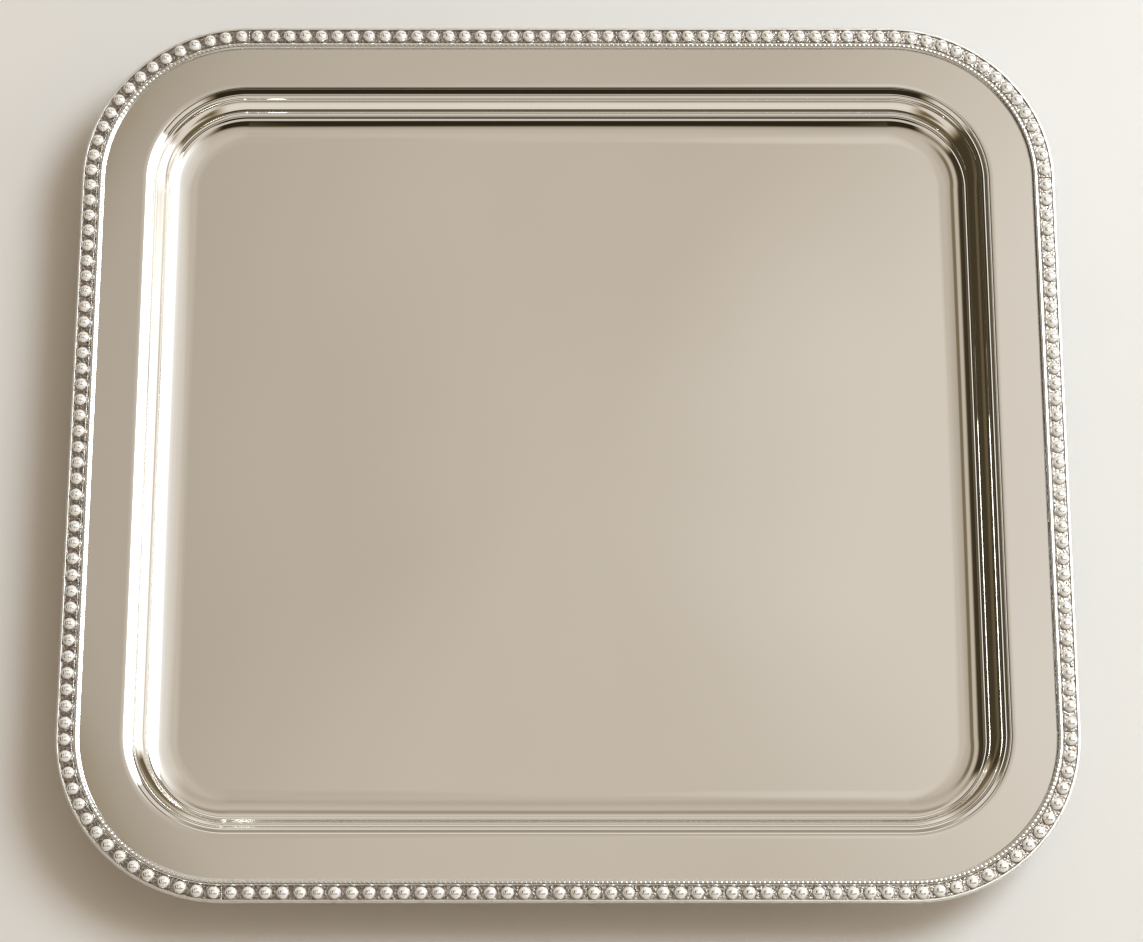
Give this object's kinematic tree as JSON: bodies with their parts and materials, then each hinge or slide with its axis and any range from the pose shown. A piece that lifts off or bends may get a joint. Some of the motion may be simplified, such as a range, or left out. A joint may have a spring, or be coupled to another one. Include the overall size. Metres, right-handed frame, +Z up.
{
  "type": "footed salver",
  "caption": "Rounded-rectangular footed silver salver with a flat sunken floor, a moulded wall, a plain rim and a beaded border.",
  "frame": {"origin": "on the surface the salver stands on, under the middle of the floor", "axes": "+X to the right along the longer side, +Y to the back, +Z up out of the well"},
  "size_m": [0.3052, 0.2798, 0.0221],
  "materials": {
    "plate_silver": "mirror-polished silver, faintly warm, fine polishing marks",
    "border_silver": "die-struck silver, bright on the beads, with a dull pitted ground between them",
    "foot_silver": "cast silver, polished, a little softer than the plate",
    "pad_felt": "dark green pressed wool felt"
  },
  "bodies": {
    "root": {"tray_plate": "plate_silver", "milled_wire": "border_silver", "edge_wire": "plate_silver", "bead_border_back": "border_silver", "bead_border_left": "border_silver", "bead_border_front": "border_silver", "bead_border_right": "border_silver", "bead_corner_back_right": "border_silver", "foot_patch_back_right": "foot_silver", "foot_back_right": "foot_silver", "foot_pad_back_right": "pad_felt", "bead_corner_back_left": "border_silver", "foot_patch_back_left": "foot_silver", "foot_back_left": "foot_silver", "foot_pad_back_left": "pad_felt", "bead_corner_front_left": "border_silver", "foot_patch_front_left": "foot_silver", "foot_front_left": "foot_silver", "foot_pad_front_left": "pad_felt", "bead_corner_front_right": "border_silver", "foot_patch_front_right": "foot_silver", "foot_front_right": "foot_silver", "foot_pad_front_right": "pad_felt"}
  },
  "joints": []
}
